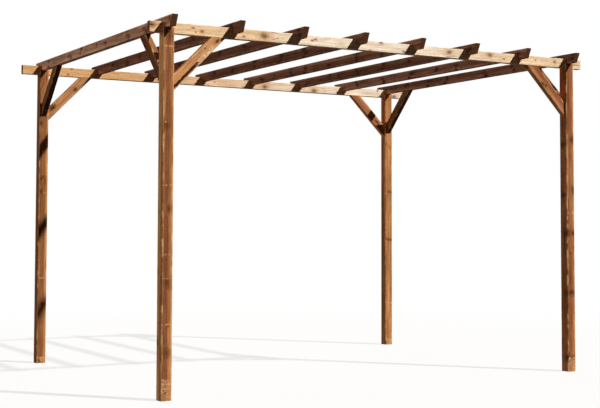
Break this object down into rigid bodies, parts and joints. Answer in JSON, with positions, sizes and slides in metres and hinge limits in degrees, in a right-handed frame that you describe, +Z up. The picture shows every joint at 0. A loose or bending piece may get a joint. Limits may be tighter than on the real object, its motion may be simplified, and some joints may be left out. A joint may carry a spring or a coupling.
{
  "type": "wooden pergola",
  "caption": "Open timber garden pergola: square posts carry two long beams and a row of notched rafters with raked tails, stiffened by diagonal knee braces.",
  "frame": {"origin": "centre of the plan at ground level, midway between the four feet", "axes": "+X along the beams to the right, +Y along the rafters to the back, +Z up"},
  "size_m": [3.49, 2.59, 2.289],
  "materials": {
    "posts": "planed softwood, preservative treated, weathered orange-brown with heartwood streaks",
    "beams": "planed softwood, pale tan with knots",
    "rafters": "planed softwood, brown with dark knots",
    "braces": "planed softwood, orange-brown with knots"
  },
  "bodies": {
    "root": {"beam_back": "beams", "beam_brace_back_left": "braces", "beam_brace_back_right": "braces", "beam_brace_front_left": "braces", "beam_brace_front_right": "braces", "beam_front": "beams", "post_back_left": "posts", "post_back_right": "posts", "post_front_left": "posts", "post_front_right": "posts", "rafter_1": "rafters", "rafter_2": "rafters", "rafter_3": "rafters", "rafter_4": "rafters", "rafter_5": "rafters", "rafter_6": "rafters", "rafter_7": "rafters", "rafter_8": "rafters", "rafter_brace_back_left": "braces", "rafter_brace_back_right": "braces", "rafter_brace_front_left": "braces", "rafter_brace_front_right": "braces"}
  },
  "joints": []
}
